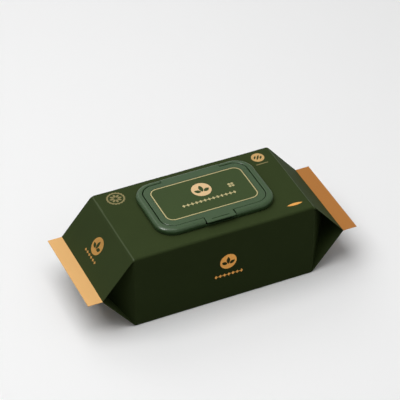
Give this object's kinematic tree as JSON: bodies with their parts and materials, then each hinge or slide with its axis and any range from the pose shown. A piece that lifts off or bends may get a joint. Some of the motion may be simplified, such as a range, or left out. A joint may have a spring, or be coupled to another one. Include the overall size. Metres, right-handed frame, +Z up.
{
  "type": "wet wipes pack",
  "caption": "Gusseted film pouch of wet wipes with flat end seals and a hinged flip-top dispensing cap on its top panel.",
  "frame": {"origin": "middle of the underside, on the surface the pack stands on", "axes": "+X along the pack from seal to seal, +Y from the latch at the front to the hinge at the back, +Z up"},
  "size_m": [0.279, 0.103, 0.089],
  "materials": {
    "film": "matte laminate film, dark olive green, gold at the end seals",
    "wipes": "moist white nonwoven",
    "adhesive": "double-sided tape",
    "cap_plastic": "satin moulded plastic, sage green",
    "label": "satin printed label, olive green",
    "gold_print": "flat gold print"
  },
  "bodies": {
    "pack": {"film_pouch": "film", "wipes_stack": "wipes", "adhesive_ring": "adhesive", "cap_base": "cap_plastic"},
    "cover": {"cap_cover": "cap_plastic", "cover_label": "label"}
  },
  "joints": [
    {"name": "cap_hinge", "type": "hinge", "parent": "pack", "child": "cover", "pos_m": [0.0025, 0.0369, 0.0866], "axis": [-1, 0, 0], "range_deg": [0, 120]}
  ]
}
